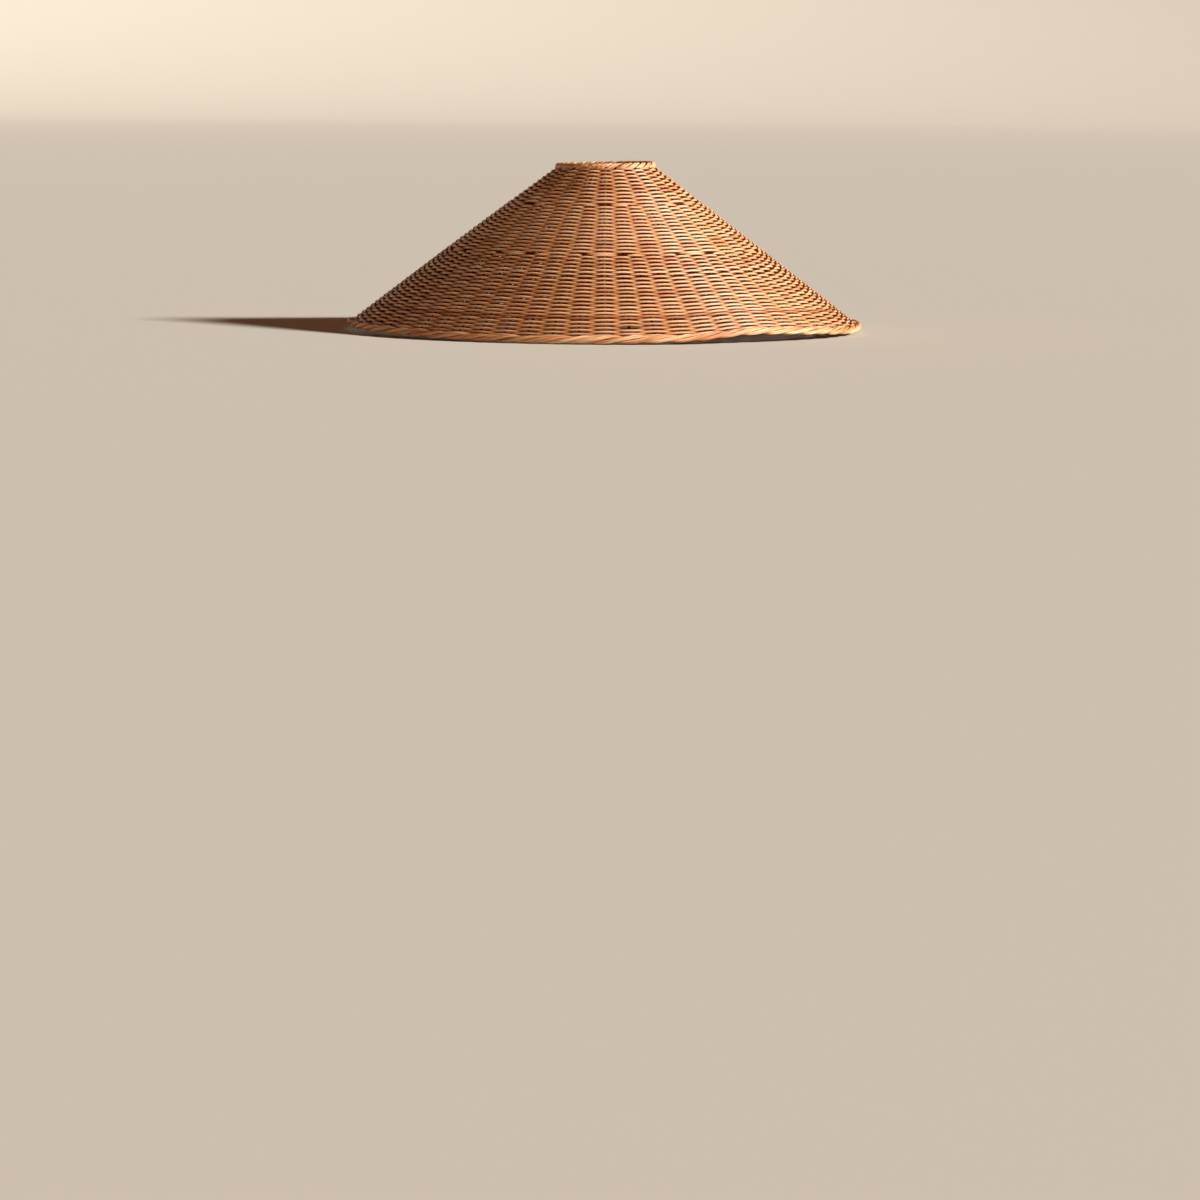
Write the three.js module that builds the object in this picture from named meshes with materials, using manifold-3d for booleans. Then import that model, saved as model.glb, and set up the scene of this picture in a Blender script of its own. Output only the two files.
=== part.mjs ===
// A woven rattan cone lamp shade on a welded wire cage, with a dropped fitter and a loose reducer ring.
// Millimetres, +Z up. The origin is the centre of the plane that the bottom border rests on. -Y is the
// front.
//
// Two wire rings and seven wire ribs make the cage. Rattan stakes run beside the ribs from ring to
// ring, and thin rattan weavers pass over and under them in three bands. Every second upright gains a
// twin at the start of the next band, so 28 uprights become 42 and then 63. The stake ends roll round
// each ring as a border. The 14 stakes that join in the middle band are pieces of their own, and the 21
// that join in the lower band are part of that band's solid.
import * as THREE from "three";
import { mergeVertices } from "three/addons/utils/BufferGeometryUtils.js";
import Module from "manifold-3d";

const wasm = await Module();
wasm.setup();

// Overall sizes
const RIM_DIAMETER = 800; // outside the bottom border
const TOP_DIAMETER = 155; // outside the top border
const HEIGHT = 258; // from the bottom border's underside to the top border's crest

// Rattan
const STAKE_DIAMETER = 4.5;
const WEAVER_DIAMETER = 3.8;
const ROW_PITCH = 4.39; // one row of weaving, measured down the slope
const UPPER_ROWS = 20;
const MIDDLE_ROWS = 27; // the lower band takes the rest of the slope
const TOP_BORDER_DIAMETER = 12;
const BOTTOM_BORDER_DIAMETER = 14;
const SPREAD_LENGTH = 50; // slope over which a pair moves apart, half of it above the new band

// Wire cage
const RING_WIRE_DIAMETER = 5;
const RIB_WIRE_DIAMETER = 4.5;

// Fitter
const FITTER_DROP = 120; // from the top ring's centre line to the washer's underside
const WASHER_HOLE_DIAMETER = 42.6; // passes a 40 mm threaded lampholder skirt
const WASHER_THICKNESS = 2;
const ARM_COUNT = 3;
const ARM_DIAMETER = 4;
const ARM_REACH = 12; // level stretch of each arm inside the top ring
const ARM_FOOT = 5; // length of each arm that lies on the washer
const ARM_BEND = 9; // how far each bend cuts its corner
const REDUCER_SEAT_WIDTH = 4.7; // how far the reducer's flange laps the washer
const REDUCER_FLANGE_THICKNESS = 2.4;
const REDUCER_SPIGOT_DEPTH = 5;
const REDUCER_HOLE_DIAMETER = 29; // passes a 28 mm lampholder skirt
const REDUCER_CHAMFER = 0.8;

// Clearances
const GAP = 0.35; // between pieces that touch
const REDUCER_CLEARANCE = 0.4; // radial, between the reducer's spigot and the washer's hole
const FLANGE_CLEARANCE = 2; // between the reducer's flange and the arms' feet

// Warp counts: each band has one and a half times the uprights of the band above it.
const UPPER_STAKES = 28;
const MIDDLE_STAKES = (UPPER_STAKES * 3) / 2;
const LOWER_STAKES = (MIDDLE_STAKES * 3) / 2;
const RIB_SPACING = 9; // every ninth upright of the lower band is a wire rib

// Faceting: an edge of the bottom ring meets each upright, and one of the top ring meets each arm.
const RIM_FACETS = LOWER_STAKES;
const TOP_FACETS = MIDDLE_STAKES;
const FITTER_FACETS = 32;
const WIRE_SIDES = 6;
const STAKE_SIDES = 5;
const STAKE_STEPS = 5;
const ARM_STEPS = 14;
const BORDER_ARC_STEPS = 7;
const SEAT_ARC_STEPS = 4;
const LIP_ANGLE = THREE.MathUtils.degToRad(38); // from the slope to the edge of a border's mouth

// The cone's mid-surface runs from the top ring's centre line to the bottom ring's.
const topRadius = (TOP_DIAMETER - TOP_BORDER_DIAMETER) / 2;
const rimRadius = (RIM_DIAMETER - BOTTOM_BORDER_DIAMETER) / 2;
const topHeight = HEIGHT - TOP_BORDER_DIAMETER / 2;
const rimHeight = BOTTOM_BORDER_DIAMETER / 2;
const slope = Math.atan2(topHeight - rimHeight, rimRadius - topRadius);
const slopeLength = Math.hypot(topHeight - rimHeight, rimRadius - topRadius);
const weaveThickness = STAKE_DIAMETER + 2 * WEAVER_DIAMETER;

// Places down the slope, from the top ring's centre line
const upperEnd = TOP_BORDER_DIAMETER / 2 + UPPER_ROWS * ROW_PITCH;
const middleEnd = upperEnd + MIDDLE_ROWS * ROW_PITCH;
const uprightTop = RING_WIRE_DIAMETER / 2 + GAP;
const uprightEnd = slopeLength - RING_WIRE_DIAMETER / 2 - GAP;

// Heights and radii of the fitter
const washerBottom = topHeight - FITTER_DROP;
const washerTop = washerBottom + WASHER_THICKNESS;
const flangeRadius = WASHER_HOLE_DIAMETER / 2 + REDUCER_SEAT_WIDTH;
const footInner = flangeRadius + FLANGE_CLEARANCE;
const washerRadius = footInner + ARM_FOOT;

const MATERIALS = {
  stake: { color: 0xb9793f, roughness: 0.7, metalness: 0 },
  weaver: { color: 0xc98a4e, roughness: 0.65, metalness: 0 },
  border: { color: 0xc08147, roughness: 0.65, metalness: 0 },
  wire: { color: 0x7c4f2a, roughness: 0.5, metalness: 0.3 },
  plastic: { color: 0xf1efe8, roughness: 0.4, metalness: 0 },
};

// A (radius, height) point at s down the slope and n out from the mid-surface.
function onCone(s, n = 0) {
  return new THREE.Vector2(
    topRadius + s * Math.cos(slope) + n * Math.sin(slope),
    topHeight - s * Math.sin(slope) + n * Math.cos(slope),
  );
}

// A (radius, height) point at a turn about +Z, counted anticlockwise from the front.
function turned(point, angle) {
  return new THREE.Vector3(point.x * Math.sin(angle), -point.x * Math.cos(angle), point.y);
}

// A closed (radius, height) outline turned about +Z.
function lathe(outline, facets) {
  return new THREE.LatheGeometry([...outline, outline[0]], facets).rotateX(Math.PI / 2);
}

// A round rod along a curve.
function rod(path, diameter, steps, sides) {
  const corners = Array.from({ length: sides }, (_, i) => {
    const angle = (2 * Math.PI * i) / sides;
    return new THREE.Vector2(Math.cos(angle), Math.sin(angle)).multiplyScalar(diameter / 2);
  });
  return new THREE.ExtrudeGeometry(new THREE.Shape(corners), { steps, extrudePath: path });
}

function solidOf(geometry) {
  const bare = geometry.index ? geometry.toNonIndexed() : geometry.clone();
  bare.deleteAttribute("normal");
  bare.deleteAttribute("uv");
  const merged = mergeVertices(bare, 1e-3);
  return new wasm.Manifold(
    new wasm.Mesh({
      numProp: 3,
      vertProperties: new Float32Array(merged.attributes.position.array),
      triVerts: new Uint32Array(merged.index.array),
    }),
  );
}

// A geometry with others cut out of it.
function cut(geometry, tools) {
  const left = tools.reduce((solid, tool) => solid.subtract(solidOf(tool)), solidOf(geometry));
  const { vertProperties, triVerts } = left.getMesh();
  return new THREE.BufferGeometry()
    .setAttribute("position", new THREE.BufferAttribute(vertProperties, 3))
    .setIndex(new THREE.BufferAttribute(triVerts, 1));
}

const shade = new THREE.Group();

function add(name, geometry, material) {
  const mesh = new THREE.Mesh(geometry, new THREE.MeshStandardMaterial(MATERIALS[material]));
  mesh.name = name;
  shade.add(mesh);
}

// Uprights

// The upright of the band above that this one continues, or is the twin of.
function upstream(index) {
  return 2 * Math.floor(index / 3) + (index % 3 ? 1 : 0);
}

// How far a pair has moved apart, from 0 to 1, where the band above ends at bandEnd.
function spread(s, bandEnd) {
  return THREE.MathUtils.smoothstep(s, bandEnd - SPREAD_LENGTH / 2, bandEnd + SPREAD_LENGTH / 2);
}

// One upright of the lower band, followed down the slope through its evenly spaced places in each band.
class Upright extends THREE.Curve {
  constructor(index, from, to) {
    super();
    const inMiddle = upstream(index);
    this.upper = upstream(inMiddle) / UPPER_STAKES;
    this.middle = inMiddle / MIDDLE_STAKES;
    this.lower = index / LOWER_STAKES;
    this.from = from;
    this.to = to;
  }

  getPoint(t, target = new THREE.Vector3()) {
    const s = THREE.MathUtils.lerp(this.from, this.to, t);
    const above = THREE.MathUtils.lerp(this.upper, this.middle, spread(s, upperEnd));
    const turns = THREE.MathUtils.lerp(above, this.lower, spread(s, middleEnd));
    return target.copy(turned(onCone(s), 2 * Math.PI * turns));
  }
}

function rib(number, index) {
  const path = new Upright(index, uprightTop, uprightEnd);
  return { name: `rib_wire_${number}`, material: "wire", path, diameter: RIB_WIRE_DIAMETER, steps: 1 };
}

function stake(name, index, from) {
  const path = new Upright(index, from, uprightEnd);
  return { name, material: "stake", path, diameter: STAKE_DIAMETER, steps: STAKE_STEPS };
}

// Each upright that starts above the lower band, and so is a piece of its own.
function separateUprights() {
  const ribs = [];
  const stakes = [];
  const addedStakes = [];
  for (let index = 0; index < LOWER_STAKES; index++) {
    if (index % 3 === 2) continue;
    if (index % RIB_SPACING === 0) {
      ribs.push(rib(ribs.length + 1, index));
    } else if (upstream(index) % 3 === 2) {
      const number = String(addedStakes.length + 1).padStart(2, "0");
      addedStakes.push(stake(`added_stake_${number}`, index, upperEnd + GAP));
    } else {
      const number = String(stakes.length + 1).padStart(2, "0");
      stakes.push(stake(`stake_${number}`, index, uprightTop));
    }
  }
  return [...ribs, ...stakes, ...addedStakes];
}

const uprights = separateUprights();
for (const { name, material, path, diameter, steps } of uprights) {
  add(name, rod(path, diameter, steps, STAKE_SIDES), material);
}

// Weaving: each band is a conical wall with a channel round each upright.
function weaveBand(from, to) {
  const half = weaveThickness / 2;
  const wall = [onCone(from, half), onCone(from, -half), onCone(to, -half), onCone(to, half)];
  const channels = uprights.map((upright) =>
    rod(upright.path, upright.diameter + 2 * GAP, upright.steps, STAKE_SIDES),
  );
  return cut(lathe(wall, RIM_FACETS), channels);
}

// How far a border reaches from its ring's centre line towards the weave.
function lipReach(borderDiameter) {
  return (borderDiameter / 2) * Math.cos(LIP_ANGLE);
}

const upperStart = lipReach(TOP_BORDER_DIAMETER) + GAP;
const lowerEnd = slopeLength - lipReach(BOTTOM_BORDER_DIAMETER) - GAP;
add("upper_weave", weaveBand(upperStart, upperEnd), "weaver");
add("middle_weave", weaveBand(upperEnd + GAP, middleEnd), "weaver");
add("lower_weave", weaveBand(middleEnd + GAP, lowerEnd), "weaver");

// Rings and borders

function ringWire(radius, height, facets) {
  const ring = new THREE.TorusGeometry(radius, RING_WIRE_DIAMETER / 2, WIRE_SIDES, facets);
  return ring.rotateZ(-Math.PI / 2).translate(0, 0, height);
}

// A border's outline: a round section rolled over its ring wire, with a mouth for the uprights.
// towardsWeave is 1 where the weave lies down the slope from the ring, and -1 where it lies up the
// slope.
function borderOutline(diameter, ringAt, towardsWeave) {
  const widest = Math.max(RING_WIRE_DIAMETER, STAKE_DIAMETER, RIB_WIRE_DIAMETER);
  const seat = (widest / 2 + GAP) / Math.cos(Math.PI / (2 * SEAT_ARC_STEPS));
  const place = (along, out) => onCone(ringAt + towardsWeave * along, out);
  const around = (radius, angle) => place(radius * Math.cos(angle), radius * Math.sin(angle));
  const outline = [];
  for (let i = 0; i <= BORDER_ARC_STEPS; i++) {
    const turn = THREE.MathUtils.lerp(LIP_ANGLE, 2 * Math.PI - LIP_ANGLE, i / BORDER_ARC_STEPS);
    outline.push(around(diameter / 2, turn));
  }
  outline.push(place(lipReach(diameter), -seat));
  for (let i = 0; i <= SEAT_ARC_STEPS; i++) {
    outline.push(around(seat, -Math.PI / 2 - (Math.PI * i) / SEAT_ARC_STEPS));
  }
  outline.push(place(lipReach(diameter), seat));
  return towardsWeave > 0 ? outline : outline.reverse();
}

add("top_ring_wire", ringWire(topRadius, topHeight, TOP_FACETS), "wire");
add("bottom_ring_wire", ringWire(rimRadius, rimHeight, RIM_FACETS), "wire");
add("bottom_border", lathe(borderOutline(BOTTOM_BORDER_DIAMETER, slopeLength, -1), RIM_FACETS), "border");

// Fitter

// Straight lines through points, with each corner rounded off.
function bentLine(points, bend) {
  const path = new THREE.CurvePath();
  let from = points[0];
  for (let i = 1; i < points.length - 1; i++) {
    const corner = points[i];
    const before = points[i - 1].clone().sub(corner).setLength(bend).add(corner);
    const after = points[i + 1].clone().sub(corner).setLength(bend).add(corner);
    path.add(new THREE.LineCurve3(from, before));
    path.add(new THREE.QuadraticBezierCurve3(before, corner, after));
    from = after;
  }
  path.add(new THREE.LineCurve3(from, points.at(-1)));
  return path;
}

// An arm starts level, a distance from the top ring, bends down to the washer and lies on its edge.
function armPath(angle, fromRing) {
  const ringInner = topRadius - RING_WIRE_DIAMETER / 2;
  const footHeight = washerTop + ARM_DIAMETER / 2 + GAP;
  const places = [
    new THREE.Vector2(ringInner - fromRing, topHeight),
    new THREE.Vector2(ringInner - ARM_REACH, topHeight),
    new THREE.Vector2(washerRadius + ARM_BEND, footHeight),
    new THREE.Vector2(footInner, footHeight),
  ];
  return bentLine(places.map((place) => turned(place, angle)), ARM_BEND);
}

function washer() {
  const hole = WASHER_HOLE_DIAMETER / 2;
  return [
    new THREE.Vector2(hole, washerBottom),
    new THREE.Vector2(washerRadius, washerBottom),
    new THREE.Vector2(washerRadius, washerTop),
    new THREE.Vector2(hole, washerTop),
  ];
}

// A flanged bush that drops into the washer's hole from above.
function reducer() {
  const bore = REDUCER_HOLE_DIAMETER / 2;
  const spigot = WASHER_HOLE_DIAMETER / 2 - REDUCER_CLEARANCE;
  const seat = washerTop + GAP;
  const top = seat + REDUCER_FLANGE_THICKNESS;
  const bottom = seat - REDUCER_SPIGOT_DEPTH;
  return [
    new THREE.Vector2(bore, bottom),
    new THREE.Vector2(spigot - REDUCER_CHAMFER, bottom),
    new THREE.Vector2(spigot, bottom + REDUCER_CHAMFER),
    new THREE.Vector2(spigot, seat),
    new THREE.Vector2(flangeRadius, seat),
    new THREE.Vector2(flangeRadius, top - REDUCER_CHAMFER),
    new THREE.Vector2(flangeRadius - REDUCER_CHAMFER, top),
    new THREE.Vector2(bore, top),
  ];
}

const armHoles = [];
for (let i = 0; i < ARM_COUNT; i++) {
  const angle = (2 * Math.PI * (i + 0.5)) / ARM_COUNT;
  add(`spider_arm_${i + 1}`, rod(armPath(angle, GAP), ARM_DIAMETER, ARM_STEPS, WIRE_SIDES), "wire");
  armHoles.push(rod(armPath(angle, 0), ARM_DIAMETER + 2 * GAP, ARM_STEPS, WIRE_SIDES));
}
add("top_border", cut(lathe(borderOutline(TOP_BORDER_DIAMETER, 0, 1), TOP_FACETS), armHoles), "border");
add("fitter_washer", lathe(washer(), FITTER_FACETS), "wire");
add("reducer_ring", lathe(reducer(), FITTER_FACETS), "plastic");

export default shade;
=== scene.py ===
"""A woven rattan cone shade, strand by strand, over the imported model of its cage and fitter."""
import math

import bpy
import numpy as np
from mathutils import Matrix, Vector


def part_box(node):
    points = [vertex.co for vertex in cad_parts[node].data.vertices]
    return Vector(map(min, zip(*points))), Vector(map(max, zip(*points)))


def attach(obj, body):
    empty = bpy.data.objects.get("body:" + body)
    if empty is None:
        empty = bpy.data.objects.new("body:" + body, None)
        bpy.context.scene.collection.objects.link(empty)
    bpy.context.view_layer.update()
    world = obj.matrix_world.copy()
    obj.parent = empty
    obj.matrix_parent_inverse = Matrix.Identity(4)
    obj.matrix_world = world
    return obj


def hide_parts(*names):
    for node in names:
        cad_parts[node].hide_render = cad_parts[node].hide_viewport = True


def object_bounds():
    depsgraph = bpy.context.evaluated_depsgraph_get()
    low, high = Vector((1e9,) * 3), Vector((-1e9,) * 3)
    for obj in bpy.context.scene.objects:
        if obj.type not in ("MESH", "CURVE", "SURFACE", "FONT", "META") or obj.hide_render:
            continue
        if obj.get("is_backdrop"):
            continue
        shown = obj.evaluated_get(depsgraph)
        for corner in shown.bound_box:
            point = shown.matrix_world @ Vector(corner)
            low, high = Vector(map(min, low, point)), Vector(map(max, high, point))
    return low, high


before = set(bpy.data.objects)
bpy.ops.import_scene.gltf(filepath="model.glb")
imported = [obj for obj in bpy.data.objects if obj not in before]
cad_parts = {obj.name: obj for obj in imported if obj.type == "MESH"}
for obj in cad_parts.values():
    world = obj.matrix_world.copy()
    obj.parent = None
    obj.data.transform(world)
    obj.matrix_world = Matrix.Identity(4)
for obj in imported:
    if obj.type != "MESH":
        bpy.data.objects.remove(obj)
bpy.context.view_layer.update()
chance = np.random.default_rng(63)

TAU = 2 * math.pi

# ---------------------------------------------------------------- sizes, in metres

UPPER_STAKES = 28
MIDDLE_STAKES = UPPER_STAKES * 3 // 2
LOWER_STAKES = MIDDLE_STAKES * 3 // 2
RIB_SPACING = 9  # every ninth upright of the lower band is a wire rib
RIB_DEPTH = 0.0008  # the ribs lie this far inside the stakes
STAKE = 0.0044  # diameter
UPRIGHT_SQUASH = 0.42  # the weaving presses the uprights oval: thickness over width
UPRIGHT_SPREAD = 0.050  # slope over which a pair of uprights moves apart
UPRIGHT_SWAY = 0.0035  # radians that an upright strays from its even place
UPRIGHT_WAVES = (14, 30)  # radians of that straying for each metre down the slope
UPRIGHT_TUCK = (0.012, 0.03)  # how far an added upright reaches up behind the band above
UPRIGHT_RECESS = 0.9  # how deep in the weave the uprights lie, from 0 to 1: the rattan is painted nearly as dark there as in painted shade

WEAVER = 0.00365  # diameter
WEAVER_LENGTH = 3.6  # the length of a weaver before the next one is joined in
LENGTH_SPREAD = (0.7, 1.25)  # the shortest and longest of them, over that
LAST_LENGTH = 12  # crossings: no weaver is joined in for fewer than this
TUCK_DEPTH = 0.9  # how far the end of a weaver goes in behind the next one, over its diameter
SWING = 0.00115  # how far a weaver swings from the mid-surface: beaten down tight, it bites the uprights
SWING_NOISE = 0.06  # share by which the swing varies
ROW_PITCH = 0.00436
ROW_NOISE = 0.00015  # how far a row strays up and down
EDGE_GAP = WEAVER * 0.55  # from a band's edge to the middle of its first or last row
TOP_GAP = WEAVER * 0.3  # from the top border's lower edge to the middle of the first row
RIM_GAP = 0.0058  # from the middle of the last row to the rim's ring
EDGE_STEP = 0.06  # part of a turn over which a band's first and last rows step down to the next
EDGE_STEP_GROWTH = 1.25  # how much longer that step is for each row further from the edge

BORDER_STRAND = 0.0032  # diameters
TOP_BORDER_STRAND = 0.0040
BORDER_SPAN = 2.8  # how many uprights a border's strand passes
BUNDLE_WIDTH = 0.68  # of a border's bundle of strands, over its distance to the next
ROLL_FROM = -200  # degrees round a border's section at which a strand starts, from outward towards the top
ROLL_TURN = 325  # degrees round the section that a strand goes

DIAMETER_NOISE = 0.03  # share by which one strand's diameter differs from another's
# The mean and spread of the strands' tones, from 0 for the darkest to 1 for the palest.
WEAVER_TONE = (0.5, 0.11)
UPRIGHT_TONE = (0.42, 0.15)
BORDER_TONE = (0.5, 0.13)
LAP_TONE = (0.5, 0.1)

BULGE = 0.0012  # how far the cone's side swells out halfway down
TOP_TILT = 0.0018  # how much higher the right of the top is than its middle
# The rim isn't quite flat: (middle and half-width in degrees from the front, rise in metres).
RIM_WAVES = [(33, 10, 0.0065), (48, 17, 0.0065), (-20, 22, -0.0025), (125, 30, 0.003), (205, 35, -0.002),
             (285, 25, 0.002)]
# Places where two rows have parted: (degrees from the front, metres up the slope from the rim, opening,
# half-width in degrees).
PARTED_ROWS = [(5.5, 0.0245, 0.0024, 2.6), (-47, 0.031, 0.0010, 3.0), (161, 0.052, 0.0014, 2.4)]

ARM = 0.004  # diameter of the fitter's wire arms
ARM_REACH = (0.06865, 0.057, 0.042, 0.028)  # the radius at each corner, from the top ring to the washer
ARM_BEND = 0.009
WASHER_HOLE = 0.0426
WASHER_EDGE = 0.0004  # how far back its corners are rounded
REDUCER_HOLE = 0.029
REDUCER_FLANGE = 0.0024
REDUCER_EDGE = 0.0006
SPIGOT_GAP = 0.0004  # between the reducer's spigot and the washer's hole, all round

SAMPLES = 8  # points along a weaver between one upright and the next


def smooth(x):
    """A soft step from 0 to 1 as x goes from 0 to 1."""
    x = np.clip(x, 0.0, 1.0)
    return x * x * (3 - 2 * x)


def degrees_off(angle, middle):
    """How many degrees an angle in radians is from middle, the short way round."""
    return (np.degrees(angle) - middle + 180) % 360 - 180


# ---------------------------------------------------------------- the cone, from the CAD frame


class Cone:
    """The weave's mid-surface: s runs down the slope, n outwards, and angle anticlockwise from the front."""

    def __init__(self):
        top_low, top_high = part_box("top_border")
        rim_low, rim_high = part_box("bottom_border")
        self.top_border = top_high.z - top_low.z
        self.rim_border = rim_high.z - rim_low.z
        self.top_radius = top_high.x - self.top_border / 2
        self.rim_radius = rim_high.x - self.rim_border / 2
        self.top_height = top_high.z - self.top_border / 2
        self.rim_height = rim_low.z + self.rim_border / 2
        run = self.rim_radius - self.top_radius
        drop = self.top_height - self.rim_height
        self.length = math.hypot(run, drop)
        self.along = (run / self.length, -drop / self.length)
        self.out = (drop / self.length, run / self.length)

    def at_height(self, z):
        """How far down the slope the mid-surface is at this height."""
        return (self.top_height - z) / -self.along[1]

    def place(self, s, n, angle):
        """World points, with the slight swell and warp of a hand-made shade."""
        s, n, angle = np.broadcast_arrays(s, n, angle)
        down = np.clip(s / self.length, 0, 1)
        n = n + BULGE * np.sin(math.pi * down)
        radius = self.top_radius + s * self.along[0] + n * self.out[0]
        height = self.top_height + s * self.along[1] + n * self.out[1]
        height = height + rim_warp(angle) * down**3 + TOP_TILT * np.sin(angle) * (1 - down) ** 3
        return np.stack([radius * np.sin(angle), -radius * np.cos(angle), height], axis=-1)

    def outward(self, angle):
        """The direction square to the slope, away from the shade."""
        angle = np.asarray(angle, float)
        return np.stack(
            [self.out[0] * np.sin(angle), -self.out[0] * np.cos(angle), np.full_like(angle, self.out[1])],
            axis=-1,
        )


def rim_warp(angle):
    """How much higher or lower than level the rim is."""
    rise = np.zeros_like(angle)
    for middle, width, height in RIM_WAVES:
        off = degrees_off(angle, middle)
        rise = rise + height * np.exp(-((off / width) ** 2))
    return rise


cone = Cone()


def band_edge(name):
    """How far down the slope a band of weaving ends."""
    low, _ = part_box(name)
    half_thickness = (STAKE + 2 * WEAVER) / 2
    return cone.at_height(low.z + half_thickness * cone.out[1])


upper_end = band_edge("upper_weave")
middle_end = band_edge("middle_weave")

# ---------------------------------------------------------------- where the uprights run

sway = chance.normal(0, UPRIGHT_SWAY, LOWER_STAKES)
waves = chance.uniform(*UPRIGHT_WAVES, LOWER_STAKES)


def upstream(index):
    """The upright of the band above that this one continues, or is the twin of."""
    return 2 * (index // 3) + (index % 3 > 0)


def upright_angle(index, s):
    """The angle of one upright of the lower band, down the slope."""
    in_middle = upstream(index)
    in_upper = upstream(in_middle)
    turns = [in_upper / UPPER_STAKES, in_middle / MIDDLE_STAKES, index / LOWER_STAKES]
    into_middle = smooth((s - upper_end) / UPRIGHT_SPREAD + 0.5)
    into_lower = smooth((s - middle_end) / UPRIGHT_SPREAD + 0.5)
    above = turns[0] + (turns[1] - turns[0]) * into_middle
    return TAU * (above + (turns[2] - above) * into_lower) + sway[index] * np.sin(s * waves[index] + index)


def members(band):
    """The lower-band indices of a band's uprights: each one's own, not its twins'."""
    if band == "lower":
        return list(range(LOWER_STAKES))
    in_middle = [i for i in range(LOWER_STAKES) if i % 3 != 2]
    if band == "middle":
        return in_middle
    return [i for i in in_middle if upstream(i) % 3 != 2]


# ---------------------------------------------------------------- strands


def new_object(name, data):
    """An object of this data, in the scene."""
    made = bpy.data.objects.new(name, data)
    bpy.context.scene.collection.objects.link(made)
    return made


def new_piece(name, mesh, material, body):
    """A piece of the shade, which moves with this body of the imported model."""
    mesh.materials.append(material)
    made = new_object(name, mesh)
    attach(made, body)
    return made


def write_map(mesh, name, parts):
    """A UV map from (u, v) pairs, one for each face corner."""
    layer = mesh.uv_layers.new(name=name)
    layer.uv.foreach_set("vector", np.concatenate(parts).astype(np.float32).ravel())


def write_values(mesh, name, domain, parts):
    """A named value on each of the mesh's corners or faces, for the materials to read."""
    layer = mesh.attributes.new(name, "FLOAT", domain)
    layer.data.foreach_set("value", np.concatenate(parts).astype(np.float32))


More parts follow.
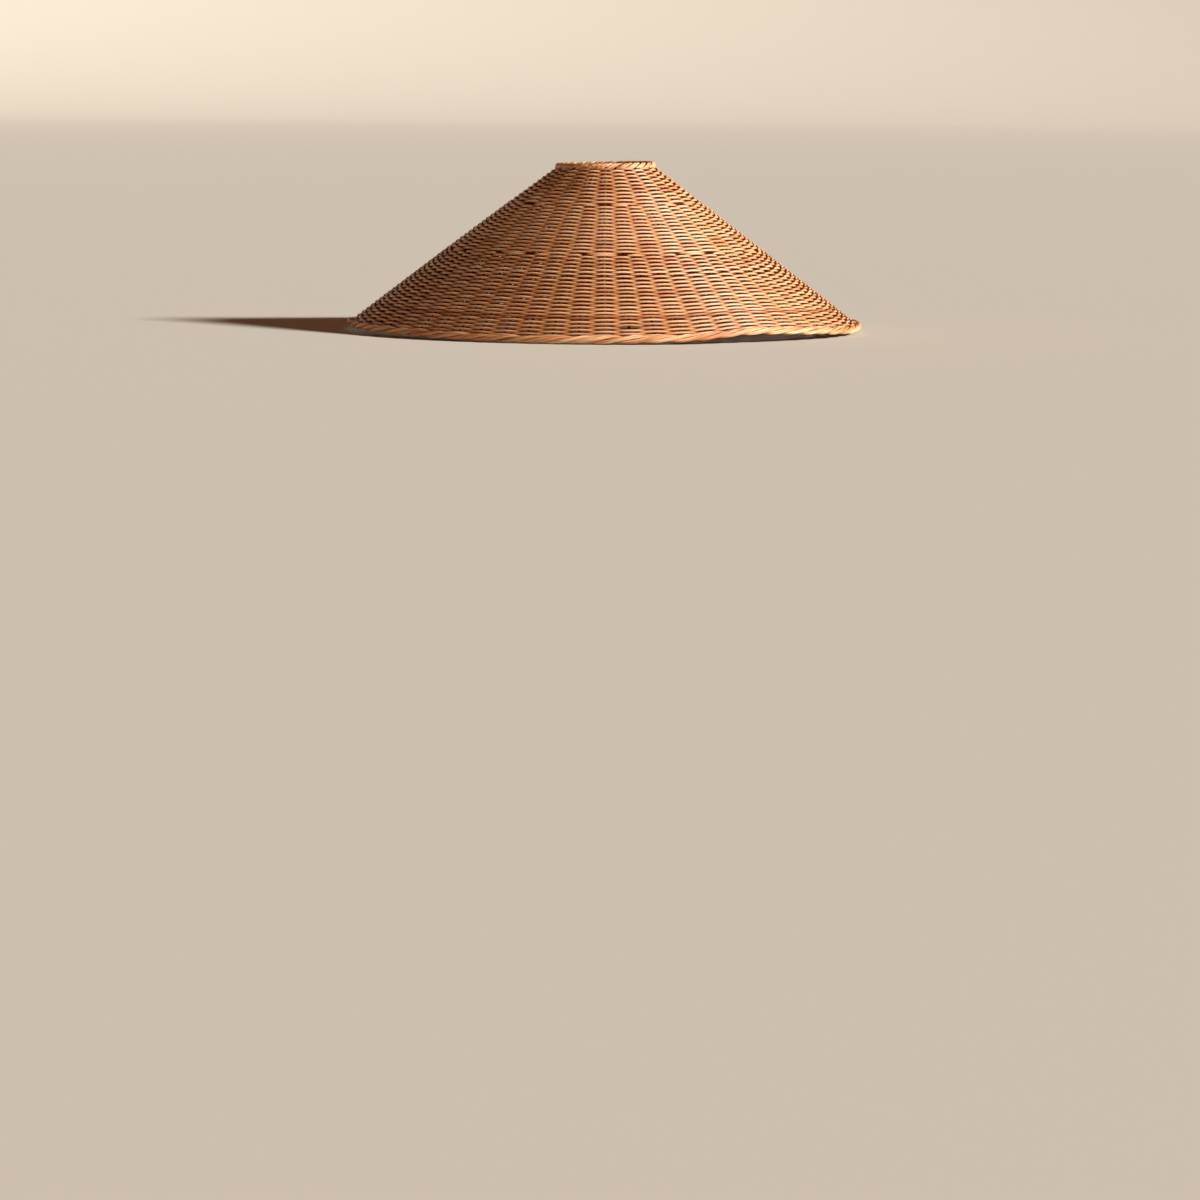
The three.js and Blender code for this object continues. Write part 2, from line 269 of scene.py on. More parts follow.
class Strands:
    """Round strands gathered into one mesh, each with its own tone and a map along and around it, and with a
    recess from 0 on the crowns to 1 where it lies deepest in the weave."""

    def __init__(self, sides):
        self.sides = sides
        self.verts = []
        self.quads = []
        self.caps = []
        self.tones = []
        self.recesses = []
        self.lengths = []
        self.count = 0

    def add(self, points, outward, diameter, tone, flat=1.0, recess=0.5):
        """A strand through points. diameter and recess may vary along it, and flat squashes it outwards."""
        points = np.asarray(points, float)
        steps = len(points)
        tangent = np.gradient(points, axis=0)
        tangent /= np.linalg.norm(tangent, axis=1, keepdims=True)
        up = outward - tangent * np.sum(outward * tangent, axis=1, keepdims=True)
        up /= np.linalg.norm(up, axis=1, keepdims=True)
        side = np.cross(tangent, up)
        turn = TAU * np.arange(self.sides) / self.sides
        radius = np.broadcast_to(np.asarray(diameter) / 2, (steps,))[:, None, None]
        ring = (
            side[:, None, :] * np.sin(turn)[None, :, None]
            - up[:, None, :] * np.cos(turn)[None, :, None] * flat
        )
        self.verts.append((points[:, None, :] + ring * radius).reshape(-1, 3))
        self.add_faces(steps)
        self.tones.append(tone)
        self.recesses.append(np.broadcast_to(recess, (steps,)))
        self.lengths.append(distance_along(points))

    def add_faces(self, steps):
        """The faces between each ring of points and the next, and a cap on each end."""
        row = np.arange(steps - 1)[:, None] * self.sides
        here = np.arange(self.sides)[None, :]
        after = (here + 1) % self.sides
        beyond = row + self.sides
        quads = np.stack([row + here, row + after, beyond + after, beyond + here], axis=-1)
        self.quads.append(self.count + quads.reshape(-1, 4))
        self.caps.append(self.count + np.arange(self.sides)[::-1])
        self.caps.append(self.count + (steps - 1) * self.sides + np.arange(self.sides))
        self.count += steps * self.sides

    def build(self, name, material):
        """The strands as one piece that rides on the shade."""
        verts = np.concatenate(self.verts)
        quads = np.concatenate(self.quads)
        caps = np.array(self.caps)
        mesh = bpy.data.meshes.new(name)
        mesh.vertices.add(len(verts))
        mesh.vertices.foreach_set("co", verts.astype(np.float32).ravel())
        corners = np.concatenate([quads.ravel(), caps.ravel()])
        sizes = np.concatenate([np.full(len(quads), 4), np.full(len(caps), self.sides)])
        starts = np.concatenate([[0], np.cumsum(sizes)[:-1]])
        mesh.loops.add(len(corners))
        mesh.loops.foreach_set("vertex_index", corners.astype(np.int32))
        mesh.polygons.add(len(sizes))
        mesh.polygons.foreach_set("loop_start", starts.astype(np.int32))
        mesh.update(calc_edges=True)
        smooth_faces = np.concatenate([np.ones(len(quads), bool), np.zeros(len(caps), bool)])
        mesh.polygons.foreach_set("use_smooth", smooth_faces)
        self.write_maps(mesh, len(quads), len(caps))
        return new_piece(name, mesh, material, "shade")

    def write_maps(self, mesh, n_quads, n_caps):
        """The strand map, in metres along and turns around, the bake map, and what the materials read."""
        turn = np.arange(self.sides) / self.sides
        around = np.stack([turn, turn + 1 / self.sides, turn + 1 / self.sides, turn], axis=-1)
        strand_map = []
        tones = []
        recesses = []
        for reach, tone, recess in zip(self.lengths, self.tones, self.recesses):
            along = self.on_corners(reach)
            strand_map.append(np.stack([along, np.broadcast_to(around, along.shape)], axis=-1).reshape(-1, 2))
            tones.append(np.full(along.size, tone))
            recesses.append(self.on_corners(recess).reshape(-1))
        cap_corners = n_caps * self.sides
        cap_along = np.repeat([at for reach in self.lengths for at in (reach[0], reach[-1])], self.sides)
        cap_map = np.stack([cap_along, np.full(cap_corners, 0.5)], axis=-1)
        write_map(mesh, "strand", [*strand_map, cap_map])
        write_map(mesh, "OFBake", [self.bake_strips(around), bake_caps(turn, n_caps)])
        mesh.uv_layers["strand"].active_render = True
        write_values(mesh, "tone", "CORNER", [*tones, np.repeat(self.tones, 2 * self.sides)])
        write_values(mesh, "recess", "CORNER", [*recesses, np.full(cap_corners, 0.5)])
        write_values(mesh, "cut_end", "FACE", [np.zeros(n_quads), np.ones(n_caps)])

    def on_corners(self, values):
        """One value for each ring, given to the four corners of every face between that ring and the next."""
        corners = np.stack([values[:-1], values[:-1], values[1:], values[1:]], axis=-1)
        return np.broadcast_to(corners[:, None, :], (len(values) - 1, self.sides, 4))

    def bake_strips(self, around):
        """The bake map of the strands' sides, cut into strips of one length and laid side by side."""
        strip_length = self.strip_length()
        laid = []
        strips = 0
        for reach in self.lengths:
            along = self.on_corners(reach)
            strip = np.floor(reach[:-1] / strip_length).astype(int)[:, None, None]
            across = (along - strip * strip_length) / (strip_length * 1.03)
            laid.append(np.stack([across, strips + strip + 0.06 + 0.88 * around], axis=-1).reshape(-1, 2))
            strips += int(strip.max()) + 1
        bake = np.concatenate(laid)
        bake[:, 1] /= strips
        return bake

    def strip_length(self):
        """The strip length that makes the bake map's texels about square."""
        total = sum(reach[-1] for reach in self.lengths)
        longest = max(reach[-1] for reach in self.lengths)
        girth = math.pi * WEAVER
        return min(math.sqrt(total * girth), longest)


def bake_caps(turn, n_caps):
    """The bake map of the strands' ends, which share one spot past the strips."""
    cap_turn = TAU * np.tile(turn, n_caps)
    return np.stack([0.985 + 0.012 * np.cos(cap_turn), 0.5 + 0.4 * np.sin(cap_turn)], axis=-1)


def distance_along(points):
    """How far each point is along the path through them."""
    return np.concatenate([[0], np.cumsum(np.linalg.norm(np.diff(points, axis=0), axis=1))])


# ---------------------------------------------------------------- weaving


def wandering(count, reach, size):
    """Slow noise along a strand: count values, which change over about reach of them."""
    knots = chance.normal(0, size, count // reach + 3)
    return np.interp(np.arange(count) / reach, np.arange(len(knots)), knots)


def parted(s, angle):
    """How far a row moves to open the parted rows."""
    moved = np.zeros_like(s)
    for degrees, up, opening, width in PARTED_ROWS:
        off = degrees_off(angle, degrees)
        above = (s - (cone.length - up)) / ROW_PITCH
        moved = moved + opening * np.tanh(above * 2) * np.exp(-((off / width) ** 2) - above**2 / 8)
    return moved


def rows_down(turn, turns):
    """How many rows a weaver has moved down after this many of its turns: a short step in each turn near a
    band's edges, and an even spiral between them."""
    row = np.floor(turn)
    from_edge = np.minimum(row, turns - 1 - row)
    width = np.minimum(EDGE_STEP * EDGE_STEP_GROWTH**from_edge, 1.0)
    return row + smooth((turn - row - 1 + width) / width)


def weaver_path(band, start, pitch, turns, phase, crossings):
    """s, n and angle of one weaver at these crossings, counted from the upright at the back."""
    uprights = np.array(members(band))
    count = len(uprights)
    at = np.floor(crossings).astype(int)
    part = crossings - at
    at = at + count // 2  # a band starts and ends at the back
    s = start + pitch * rows_down(crossings / count, turns)
    s = s + wandering(len(crossings), SAMPLES * 4, ROW_NOISE)
    before = upright_angle(uprights[at % count], s) + TAU * (at // count)
    after = upright_angle(uprights[(at + 1) % count], s) + TAU * ((at + 1) // count)
    angle = before + (after - before) * part
    s = s + parted(s, angle)
    wave = np.cos(math.pi * (crossings + phase))
    reach = SWING * (1 + wandering(len(crossings), SAMPLES * 2, SWING_NOISE))
    return s, reach * wave, angle


def weave(parts, band, start, pitch, rows, phase, weavers):
    """One weaver of a band, in lengths joined end to end behind an upright, shared out over parts from the
    top down. weavers is how many share the band, and so how many rows this one moves down in a turn."""
    turns = rows // weavers
    crossings = np.arange(turns * len(members(band)) * SAMPLES + 1) / SAMPLES
    s, n, angle = weaver_path(band, start, pitch * weavers, turns, phase, crossings)
    points = cone.place(s, n, angle)
    outward = cone.outward(angle)
    reach = distance_along(points)
    end = len(points) - 1
    first = 0
    while first < end:
        length = WEAVER_LENGTH * chance.uniform(*LENGTH_SPREAD)
        last = int(np.searchsorted(reach, reach[first] + length))
        last = min(behind(last, phase), end)
        if end - last < SAMPLES * LAST_LENGTH:
            last = end
        stop = min(last + SAMPLES, end)
        piece = slice(first, stop + 1)
        count = stop - first + 1
        inward = outward[piece] * (tuck(count, stop > last) * WEAVER * TUCK_DEPTH)[:, None]
        thickness = WEAVER * chance.normal(1, DIAMETER_NOISE) * (1 + wandering(count, 40, 0.02))
        # From 0 where the weaver swings out to 1 where it lies behind: the material paints the first paler as
        # a highlight and the second dark as shade.
        deep = 0.5 - n[piece] / SWING / 2
        share = parts[len(parts) * first // len(points)]
        tone = chance.normal(*WEAVER_TONE)
        share.add(points[piece] - inward, outward[piece], thickness, tone, recess=deep)
        first = last


def behind(sample, phase):
    """The sample nearest this one at which the weaver is behind an upright."""
    crossing = round((sample / SAMPLES + phase - 1) / 2) * 2 + 1 - phase
    return int(crossing * SAMPLES)


def tuck(count, overlaps):
    """How far inside the next weaver this one lies along its length, from 0 to 1."""
    to_end = np.arange(count)[::-1] / SAMPLES
    return smooth(1.2 - to_end) * overlaps


# ---------------------------------------------------------------- uprights, borders and rings


def upright_start(index, ring_wire):
    """How far down the slope an upright starts: behind the band above if it joins in, or at the top ring."""
    if index % 3 == 2:
        return middle_end - chance.uniform(*UPRIGHT_TUCK)
    if upstream(index) % 3 == 2:
        return upper_end - chance.uniform(*UPRIGHT_TUCK)
    return ring_wire / 2


def add_uprights(stakes, ribs):
    """Every upright of the shade, the wire ones to ribs and the rattan ones to stakes."""
    low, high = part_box("top_ring_wire")
    ring_wire = high.z - low.z
    for index in range(LOWER_STAKES):
        is_rib = index % RIB_SPACING == 0
        s = np.linspace(upright_start(index, ring_wire), cone.length - ring_wire / 2, 90)
        angle = upright_angle(index, s)
        points = cone.place(s, -RIB_DEPTH if is_rib else 0.0, angle)
        width = STAKE * chance.normal(1, DIAMETER_NOISE)
        tone = chance.normal(*UPRIGHT_TONE)
        strands = ribs if is_rib else stakes
        strands.add(points, cone.outward(angle), width, tone, UPRIGHT_SQUASH, UPRIGHT_RECESS)


def roll(strands, s, angle, turned, reach, diameter, tone, recess):
    """A border strand: turned is how far round the ring's section it is, from outward towards the top."""
    centre = cone.place(s, 0.0, angle)
    radial = np.stack([np.sin(angle), -np.cos(angle), np.zeros_like(angle)], axis=-1)
    up = np.array([0.0, 0.0, 1.0])
    outward = radial * np.cos(turned)[:, None] + up * np.sin(turned)[:, None]
    strands.add(centre + outward * reach[:, None], outward, diameter, tone, 1.0, recess)


def border(strands, s, count, together, strand, reach, lump):
    """The stake ends rolled round a ring. At each upright a bundle goes in behind, under and up the front.

    together is how many strands are in a bundle, strand their diameter, reach the distance from the ring's
    middle to a strand's, and lump how much prouder the middle of each bundle is. A strand is thin at its
    ends, inside the ring, and thick in the middle, which shows. Its ends are painted dark, as shade, and its
    middle painted pale, as a highlight."""
    t = np.linspace(0, 1, 30)
    arch = np.sin(math.pi * t)
    turned = np.radians(ROLL_FROM + ROLL_TURN * t)
    for k in range(count):
        shift = chance.normal(0, 0.05)
        for j in range(together):
            place = (j + 0.5) / together
            length = BORDER_SPAN * chance.normal(1, 0.03)
            angle = TAU * (k + shift + place * BUNDLE_WIDTH + (t - 0.5) * length) / count
            swell = lump * math.sin(math.pi * place) * chance.normal(1, 0.15)
            out = reach + swell * smooth(4 * t) * smooth(4 - 4 * t)
            taper = strand * (0.78 + 0.25 * arch) * chance.normal(1, 0.04)
            tone = chance.normal(*BORDER_TONE)
            # The recess paints a strand's hidden ends dark as shade and its middle pale as a highlight.
            roll(strands, s, angle, turned, out, taper, tone, 0.72 - 0.65 * arch)


def lap(strands, first, last, turned, reach, diameter):
    """A stake end laid along the outside of the top ring, over the rolled ones.

    It goes from first to last, in degrees from the front. turned is its place round the ring's section."""
    t = np.linspace(0, 1, 60)
    angle = np.radians(first + (last - first) * t)
    ends = smooth(8 * t) * smooth(8 - 8 * t)
    out = reach - 0.002 * (1 - ends)
    taper = diameter * (0.7 + 0.3 * ends)
    tone = chance.normal(*LAP_TONE)
    # A low recess paints the lap paler, as a highlight.
    roll(strands, 0.0, angle, np.radians(turned + 12 * t), out, taper, tone, 0.2)


def ring_points(s, steps):
    """Points all the way round the cone, and the outward direction at each."""
    angle = TAU * np.arange(steps + 1) / steps
    return cone.place(s, 0.0, angle), cone.outward(angle)


# ---------------------------------------------------------------- materials


class Nodes:
    """A short way to write a material's nodes."""

    def __init__(self, name):
        self.material = bpy.data.materials.new(name)
        self.material.use_nodes = True
        self.tree = self.material.node_tree
        self.shader = self.tree.nodes["Principled BSDF"]

    def new(self, kind, settings=None, **inputs):
        node = self.tree.nodes.new(kind)
        for key, value in (settings or {}).items():
            setattr(node, key, value)
        for key, value in inputs.items():
            self.set(node.inputs[key], value)
        return node

    def set(self, socket, value):
        if isinstance(value, bpy.types.NodeSocket):
            self.tree.links.new(value, socket)
        else:
            socket.default_value = value

    def shade(self, name, value):
        """Sets one of the shader's own inputs."""
        self.set(self.shader.inputs[name], value)

    def attribute(self, name):
        return self.new("ShaderNodeAttribute", {"attribute_name": name}).outputs["Fac"]

    def maths(self, operation, *values):
        node = self.new("ShaderNodeMath", {"operation": operation})
        for socket, value in zip(node.inputs, values):
            self.set(socket, value)
        return node.outputs[0]

    def ramp(self, factor, *stops):
        node = self.new("ShaderNodeValToRGB", Fac=factor)
        elements = node.color_ramp.elements
        while len(elements) < len(stops):
            elements.new(0.5)
        for element, (position, colour) in zip(elements, stops):
            element.position = position
            element.color = (*colour, 1)
        return node.outputs["Color"]

    def mix(self, factor, a, b, blend="MIX"):
        node = self.new("ShaderNodeMix", {"data_type": "RGBA", "blend_type": blend})
        for socket, value in zip((node.inputs[0], node.inputs[6], node.inputs[7]), (factor, a, b)):
            self.set(socket, value)
        return node.outputs[2]

    def noise(self, vector, scale, detail=2.0, roughness=0.5):
        node = self.new("ShaderNodeTexNoise", Scale=scale, Detail=detail, Roughness=roughness, Vector=vector)
        return node.outputs["Fac"]

    def stretched(self, vector, *scale):
        node = self.new("ShaderNodeMapping", {"vector_type": "POINT"}, Scale=scale, Vector=vector)
        return node.outputs["Vector"]

    def bump(self, height, strength, distance):
        node = self.new("ShaderNodeBump", Height=height, Strength=strength, Distance=distance)
        self.shade("Normal", node.outputs["Normal"])


# Rattan, from where it has aged most to where it is palest, and its cut ends.
DARK = (0.19, 0.046, 0.012)
BROWN = (0.45, 0.152, 0.042)
TAN = (0.66, 0.315, 0.125)
PALE = (0.78, 0.465, 0.235)
CUT = (0.80, 0.62, 0.42)
# What those are multiplied by: a painted highlight on a strand's crowns, a milder painted shade on its
# flanks, and a dark painted shade where it lies deep in the weave.
CROWN_HIGHLIGHT_TINT = (1.22, 1.30, 1.48)
FLANK_SHADE_TINT = (0.94, 0.85, 0.74)
DEEP_SHADE_TINT = (0.11, 0.016, 0.004)
# And by the dark fibres of the grain, by the pores, and by neither.
FIBRE_TINT = (0.62, 0.56, 0.50)
PORE_TINT = (0.35, 0.24, 0.16)
WHITE = (1.0, 1.0, 1.0)
# The darker and the lighter patches of the wire's paint and of the plastic.
WIRE_PAINT = ((0.20, 0.08, 0.028), (0.28, 0.12, 0.045))
PLASTIC = ((0.78, 0.765, 0.72), (0.86, 0.85, 0.81))
FLOOR = (0.596, 0.528, 0.418)


def strand_place(n, tone):
    """Where a point is in its strand, in metres, moved by its tone so that no strands share their grain."""
    place = n.new("ShaderNodeUVMap", {"uv_map": "strand"}).outputs["UV"]
    split = n.new("ShaderNodeSeparateXYZ", Vector=place)
    turn = n.maths("MULTIPLY", split.outputs["Y"], TAU)
    return n.new(
        "ShaderNodeCombineXYZ",
        X=split.outputs["X"],
        Y=n.maths("MULTIPLY", n.maths("COSINE", turn), WEAVER / 2),
        Z=n.maths("ADD", n.maths("MULTIPLY", n.maths("SINE", turn), WEAVER / 2), tone),
    ).outputs[0]


def rattan(name, shift):
    """Round rattan core: its tone changes from strand to strand and slowly along each, over fine long grain.
    Its crowns are painted paler, as a highlight. Where it lies deep it is painted dark, as shade, and has no
    sheen. shift makes all of it paler."""
    n = Nodes(name)
    tone = n.attribute("tone")
    cut = n.attribute("cut_end")
    recess = n.attribute("recess")
    where = strand_place(n, tone)
    slow = n.noise(n.stretched(where, 9, 40, 40), 1.0, 3, 0.6)
    blotch = n.noise(n.stretched(where, 70, 160, 160), 1.0, 2)
    grain = n.noise(n.stretched(where, 60, 2600, 2600), 1.0, 3, 0.65)
    pores = n.noise(n.stretched(where, 420, 2400, 2400), 1.0, 1)
    level = n.maths("ADD", n.maths("MULTIPLY", tone, 0.75), n.maths("MULTIPLY", slow, 0.75))
    level = n.maths("ADD", level, n.maths("MULTIPLY", blotch, 0.25))
    level = n.maths("SUBTRACT", level, 0.375 - shift)
    colour = n.ramp(level, (0.0, DARK), (0.25, BROWN), (0.55, TAN), (0.9, PALE))
    colour = n.mix(0.6, colour, n.ramp(grain, (0.30, FIBRE_TINT), (0.62, WHITE)), "MULTIPLY")
    colour = n.mix(0.8, colour, n.ramp(pores, (0.27, PORE_TINT), (0.36, WHITE)), "MULTIPLY")
    # Painted highlight and painted shade, from how deep the strand lies in the weave.
    painted_light_tint = n.ramp(recess, (0.1, CROWN_HIGHLIGHT_TINT), (0.5, FLANK_SHADE_TINT), (0.76, DEEP_SHADE_TINT))
    colour = n.mix(1.0, colour, painted_light_tint, "MULTIPLY")
    crown = n.maths("SUBTRACT", 1.0, recess)
    n.shade("Base Color", n.mix(cut, colour, (*CUT, 1)))
    n.shade("Roughness", n.maths("ADD", 0.34, n.maths("MULTIPLY", grain, 0.26)))
    n.shade("Specular IOR Level", n.maths("MULTIPLY", crown, 0.55))
    n.shade("Coat Weight", n.maths("MULTIPLY", crown, 0.28))
    n.shade("Coat Roughness", 0.38)
    n.bump(n.maths("ADD", grain, n.maths("MULTIPLY", pores, 0.5)), 0.5, 0.00025)
    return n.material


def painted_wire():
    """Brown satin paint, lighter in places."""
    n = Nodes("painted_wire")
    place = n.new("ShaderNodeTexCoord").outputs["Object"]
    orange_peel = n.noise(place, 900, 2)
    wear = n.noise(place, 160, 4, 0.7)
    n.shade("Base Color", n.ramp(wear, (0.35, WIRE_PAINT[0]), (0.72, WIRE_PAINT[1])))
    n.shade("Roughness", n.maths("ADD", 0.32, n.maths("MULTIPLY", wear, 0.25)))
    n.bump(orange_peel, 0.25, 0.0003)
    return n.material


def moulded_plastic():
    """Off-white plastic with a fine moulded texture."""
    n = Nodes("moulded_plastic")
    place = n.new("ShaderNodeTexCoord").outputs["Object"]
    fine = n.noise(place, 2200, 2)
    cloud = n.noise(place, 60, 3)
    n.shade("Base Color", n.ramp(cloud, (0.3, PLASTIC[0]), (0.7, PLASTIC[1])))
    n.shade("Roughness", n.maths("ADD", 0.36, n.maths("MULTIPLY", fine, 0.12)))
    n.bump(fine, 0.15, 0.0002)
    return n.material


def studio_floor():
    n = Nodes("studio_floor")
    n.shade("Base Color", (*FLOOR, 1))
    n.shade("Roughness", 0.9)
    return n.material


weaver_look = rattan("rattan_weaver", 0.02)
# A darker copy of the rattan for the stakes: painted shade, as they lie in the weave's shadow.
stake_shaded_look = rattan("rattan_stake", -0.15)
border_look = rattan("rattan_border", 0.0)
wire_look = painted_wire()
plastic_look = moulded_plastic()

# ---------------------------------------------------------------- the pieces


def finish_piece(piece, slot, *nodes):
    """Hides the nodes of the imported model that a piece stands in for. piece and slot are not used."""
    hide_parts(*nodes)


def nodes_named(prefix):
    """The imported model's nodes whose names start with this."""
    return sorted(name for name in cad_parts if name.startswith(prefix))


def make_weave():
    """The three bands: two weavers that take turns in the upper and middle ones, and one in the lower, in two
    pieces."""
    bands = [
        ("upper", cone.top_border / 2 + TOP_GAP, upper_end - EDGE_GAP, 2, 1),
        ("middle", upper_end + EDGE_GAP, middle_end - EDGE_GAP, 2, 1),
        ("lower", middle_end + EDGE_GAP, cone.length - RIM_GAP, 1, 2),
    ]
    for band, start, end, weavers, shares in bands:
        rows = round(((end - start) / ROW_PITCH + 1) / weavers) * weavers
        pitch = (end - start) / (rows - 1)
        for phase in range(weavers):
            parts = [Strands(8) for _ in range(shares)]
            weave(parts, band, start + phase * pitch, pitch, rows, phase, weavers)
            for number, strands in enumerate(parts, phase * shares + 1):
                piece = strands.build(f"{band}_weaver_{number}", weaver_look)
                finish_piece(piece, "weaver", f"{band}_weave")


def make_uprights():
    """The rattan uprights as one piece, and the wire ribs as another."""
    stakes = Strands(8)
    ribs = Strands(10)
    add_uprights(stakes, ribs)
    finish_piece(stakes.build("stakes", stake_shaded_look), "stake", *nodes_named("stake_"), *nodes_named("added_"))
    finish_piece(ribs.build("ribs", wire_look), "wire", *nodes_named("rib_wire_"))


def make_borders():
    """The rolled rim, and the rolled top with its two lapped ends."""
    rim = Strands(8)
    border(rim, cone.length, LOWER_STAKES, together=3, strand=BORDER_STRAND, reach=0.0025, lump=0.0026)
    finish_piece(rim.build("rolled_rim", border_look), "border", "bottom_border")
    top = Strands(8)
    border(top, 0.0, UPPER_STAKES, together=2, strand=TOP_BORDER_STRAND, reach=0.0036, lump=0.0012)
    lap(top, first=-84, last=2, turned=56, reach=0.0044, diameter=TOP_BORDER_STRAND * 0.95)
    lap(top, first=-78, last=10, turned=6, reach=0.0048, diameter=TOP_BORDER_STRAND * 0.85)
    finish_piece(top.build("rolled_top", border_look), "border", "top_border")


def make_rings():
    """The wire ring inside each border."""
    for name, s, steps in (("top_ring_wire", 0.0, 120), ("bottom_ring_wire", cone.length, 360)):
        low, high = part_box(name)
        wire = Strands(10)
        points, outward = ring_points(s, steps)
        wire.add(points, outward, high.z - low.z, 0.5)
        finish_piece(wire.build(name.replace("_wire", ""), wire_look), "wire", name)


def corner_curve(before, corner, after, cut, steps):
    """Points along the curve that rounds a corner off, from cut before it to cut after it."""
    start = corner + (before - corner) / np.linalg.norm(before - corner) * cut
    end = corner + (after - corner) / np.linalg.norm(after - corner) * cut
    return [start * (1 - t) ** 2 + corner * 2 * t * (1 - t) + end * t**2 for t in np.linspace(0, 1, steps)]


def rounded_path(corners, bend, steps=12):
    """A path through corners, each one but the first and last rounded off."""
    path = [corners[0]]
    for before, corner, after in zip(corners, corners[1:], corners[2:]):
        path += corner_curve(before, corner, after, bend, steps)
    return np.array([*path, corners[-1]])


def rounded_outline(corners, edge, steps=4):
    """A closed outline with every corner rounded off."""
    closed = [np.array(corner, float) for corner in corners]
    outline = []
    for i, corner in enumerate(closed):
        outline += corner_curve(closed[i - 1], corner, closed[(i + 1) % len(closed)], edge, steps)
    return outline


def make_arms():
    """Each arm leaves the top ring level, turns down, and turns in again over the washer."""
    low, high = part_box("spider_arm_1")
    level = high.z - ARM / 2
    foot = low.z + ARM / 2
    profile = list(zip(ARM_REACH, (level, level, foot, foot)))
    for number in (1, 2, 3):
        angle = TAU * (number - 0.5) / 3
        corners = [np.array([r * math.sin(angle), -r * math.cos(angle), z]) for r, z in profile]
        points = rounded_path(corners, ARM_BEND)
        sideways = np.array([math.cos(angle), math.sin(angle), 0.0])
        arm = Strands(12)
        arm.add(points, np.broadcast_to(sideways, points.shape), ARM, 0.5)
        finish_piece(arm.build(f"arm_{number}", wire_look), "wire", f"spider_arm_{number}")


def turned_piece(name, outline, material, body, steps=96):
    """A ring with this closed outline of (radius, height) points."""
    mesh = bpy.data.meshes.new(name)
    spins = [TAU * i / steps for i in range(steps)]
    verts = [(r * math.cos(a), r * math.sin(a), z) for a in spins for r, z in outline]
    count = len(outline)
    faces = []
    for i in range(steps):
        here = i * count
        beyond = (i + 1) % steps * count
        for k in range(count):
            after = (k + 1) % count
            faces.append((here + k, beyond + k, beyond + after, here + after))
    mesh.from_pydata(verts, [], faces)
    return new_piece(name, mesh, material, body)


def make_washer():
    """The flat ring that the arms hold."""
    low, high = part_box("fitter_washer")
    hole = WASHER_HOLE / 2
    corners = [(hole, low.z), (high.x, low.z), (high.x, high.z), (hole, high.z)]
    outline = rounded_outline(corners, WASHER_EDGE)
    finish_piece(turned_piece("washer", outline, wire_look, "shade"), "wire", "fitter_washer")


def make_reducer():
    """A spigot that fits the washer's hole, under a wider flange that rests on the washer."""
    low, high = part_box("reducer_ring")
    hole = REDUCER_HOLE / 2
    spigot = WASHER_HOLE / 2 - SPIGOT_GAP
    flange = high.z - REDUCER_FLANGE
    corners = [
        (hole, low.z),
        (spigot, low.z),
        (spigot, flange),
        (high.x, flange),
        (high.x, high.z),
        (hole, high.z),
    ]
    outline = rounded_outline(corners, REDUCER_EDGE)
    finish_piece(turned_piece("reducer", outline, plastic_look, "reducer"), "plastic", "reducer_ring")


make_weave()
make_uprights()
make_borders()
make_rings()
make_arms()
make_washer()
make_reducer()

# ---------------------------------------------------------------- stage, light and camera

FLOOR_RADIUS = 20
WALL_CURVE = 3.0
FLOOR_GAP = 0.0005  # the floor lies this far under the shade
WORLD = (1.0, 0.42, 0.20)
WORLD_STRENGTH = 0.11

CAMERA_DISTANCE = 8.26
CAMERA_ASIDE = -0.0095
CAMERA_RISE = 0.4415  # above the rim's plane
CAMERA_PITCH = 6.03  # degrees below level
CAMERA_ROLL = 0.43  # degrees
CAMERA_LENS = 159.5  # mm, on a 36 mm sensor


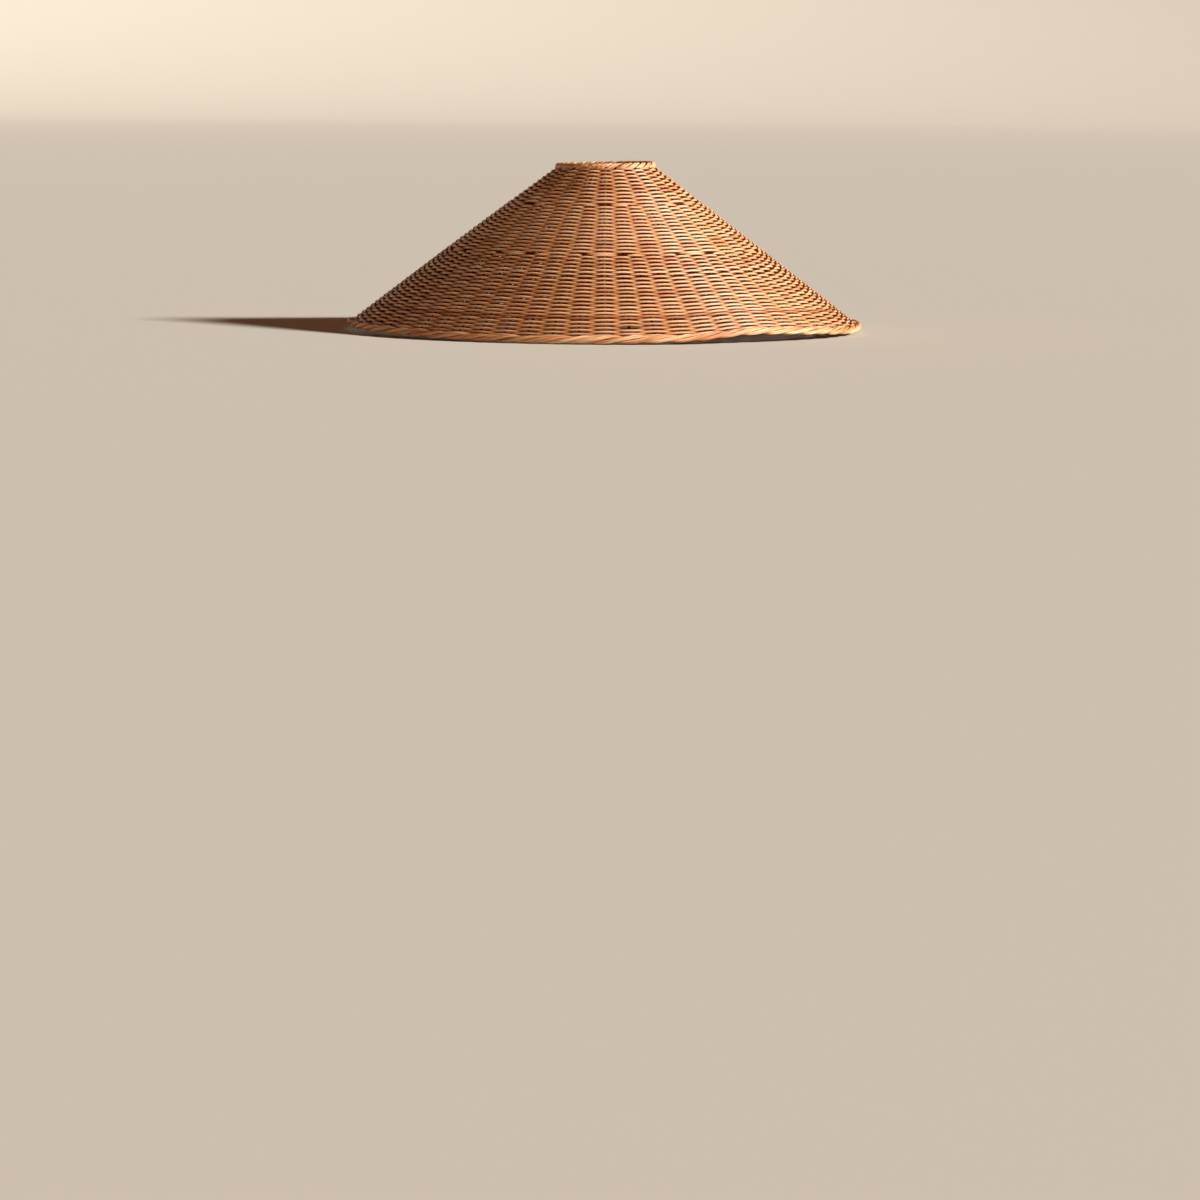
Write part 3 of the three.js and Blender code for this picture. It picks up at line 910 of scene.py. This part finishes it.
def studio_bowl(radius, curve, steps=96, rings=24):
    """A round floor that curves up into a wall all the way round."""
    profile = [(radius * k / 6, 0.0) for k in range(1, 7)]
    profile += [
        (radius + curve * math.sin(a), curve * (1 - math.cos(a)))
        for a in np.linspace(0, math.pi / 2, rings)[1:]
    ]
    verts = [(0.0, 0.0, 0.0)]
    for r, z in profile:
        verts += [(r * math.cos(TAU * i / steps), r * math.sin(TAU * i / steps), z) for i in range(steps)]
    faces = [(0, 1 + i, 1 + (i + 1) % steps) for i in range(steps)]
    for k in range(len(profile) - 1):
        for i in range(steps):
            a = 1 + k * steps + i
            b = 1 + k * steps + (i + 1) % steps
            faces.append((a, a + steps, b + steps, b))
    mesh = bpy.data.meshes.new("studio_floor")
    mesh.from_pydata(verts, [], faces)
    mesh.polygons.foreach_set("use_smooth", [True] * len(faces))
    mesh.materials.append(studio_floor())
    floor = new_object("studio_floor", mesh)
    floor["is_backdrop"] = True
    return floor


def sunlight(name, azimuth, elevation, softness, power, colour):
    """Even light from far away. Azimuth is anticlockwise from the front, and all angles are in degrees."""
    lamp = bpy.data.lights.new(name, "SUN")
    lamp.angle = math.radians(softness)
    lamp.energy = power
    lamp.color = colour
    holder = new_object(name, lamp)
    holder.rotation_euler = (math.radians(90 - elevation), 0, math.radians(azimuth))


def surroundings():
    """The faint warm light that comes from all round, as off a room's walls."""
    world = bpy.data.worlds.new("studio")
    bpy.context.scene.world = world
    world.use_nodes = True
    background = world.node_tree.nodes["Background"]
    background.inputs["Color"].default_value = (*WORLD, 1)
    background.inputs["Strength"].default_value = WORLD_STRENGTH


def place_camera():
    """The photograph's viewpoint, a little above the shade and some way off."""
    lens = bpy.data.cameras.new("camera")
    lens.lens = CAMERA_LENS
    lens.sensor_width = 36
    lens.clip_end = 60
    camera = new_object("camera", lens)
    camera.location = (CAMERA_ASIDE, -CAMERA_DISTANCE, cone.rim_height + CAMERA_RISE)
    camera.rotation_euler = (math.radians(90 - CAMERA_PITCH), math.radians(-CAMERA_ROLL), 0)
    bpy.context.scene.camera = camera


floor = studio_bowl(FLOOR_RADIUS, WALL_CURVE)
floor.location.z = min(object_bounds()[0].z, 0.0) - FLOOR_GAP
sunlight("window", azimuth=70, elevation=22, softness=6, power=8.0, colour=(0.95, 0.97, 1.0))
surroundings()
place_camera()
bpy.context.scene.view_settings.view_transform = "Standard"
